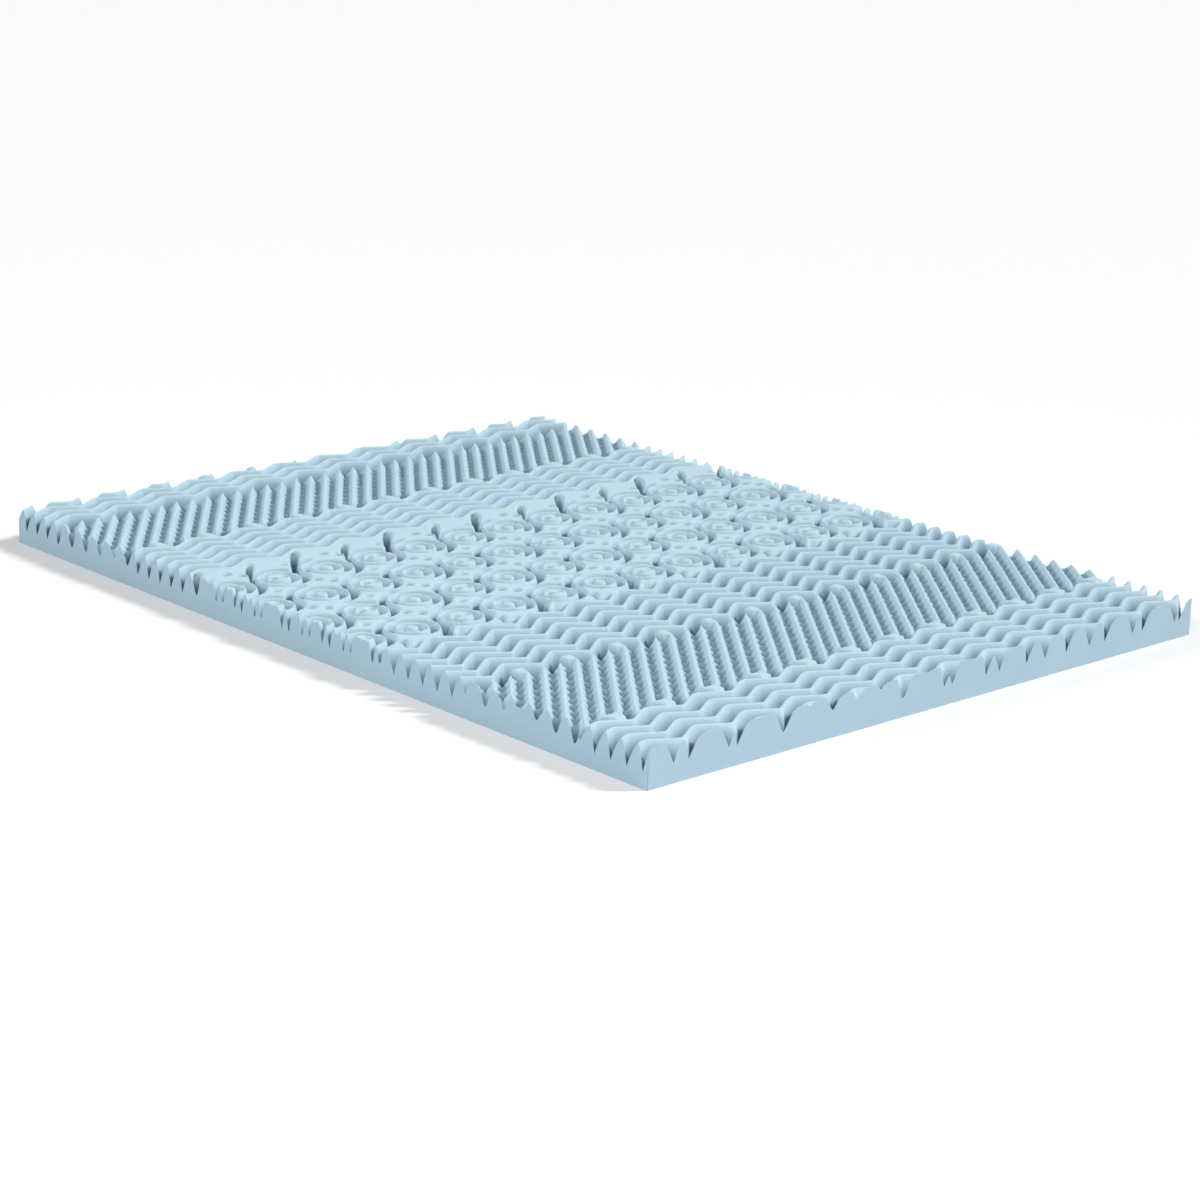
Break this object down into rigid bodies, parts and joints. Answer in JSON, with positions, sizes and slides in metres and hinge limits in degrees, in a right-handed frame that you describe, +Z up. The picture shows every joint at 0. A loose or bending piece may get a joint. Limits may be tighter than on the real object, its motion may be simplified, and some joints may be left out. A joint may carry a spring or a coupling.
{
  "type": "foam mattress topper",
  "caption": "Seven-zone convoluted foam mattress topper: a one-piece slab with carved zigzag ridges, ribbed egg-crate bands and a middle band of rosettes over a flat underside.",
  "frame": {"origin": "under the middle of the slab, on its flat underside", "axes": "+X along the length, +Y across the width, +Z up out of the carved face"},
  "size_m": [2.032, 1.524, 0.079],
  "materials": {
    "blue_foam": "matte open-cell foam, cut and unlined"
  },
  "bodies": {
    "root": {"foam_topper": "blue_foam"}
  },
  "joints": []
}
